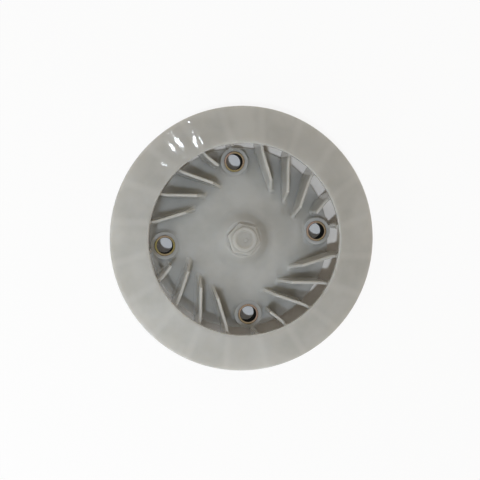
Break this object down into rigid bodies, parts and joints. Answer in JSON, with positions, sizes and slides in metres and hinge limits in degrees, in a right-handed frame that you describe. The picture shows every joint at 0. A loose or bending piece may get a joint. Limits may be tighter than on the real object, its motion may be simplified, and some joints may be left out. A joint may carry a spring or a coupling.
{
  "type": "centrifugal cooling fan wheel",
  "caption": "Centrifugal fan wheel moulded in one piece: conical front ring, leaning blades and domed back plate with a hexagon hub, bolted through moulded-in steel sleeves.",
  "frame": {"origin": "on the wheel's axis, in the plane of its rear face", "axes": "+Z along the axis out of the inlet; +X towards the right of the picture, 5.2 degrees before the first bolt sleeve"},
  "size_m": [0.14, 0.14, 0.028],
  "materials": {
    "natural_nylon": "natural, slightly translucent moulded nylon",
    "plated_steel": "yellow zinc plated"
  },
  "bodies": {
    "root": {"fan_wheel": "natural_nylon", "bolt_sleeve_1": "plated_steel", "bolt_sleeve_2": "plated_steel", "bolt_sleeve_3": "plated_steel", "bolt_sleeve_4": "plated_steel"}
  },
  "joints": []
}
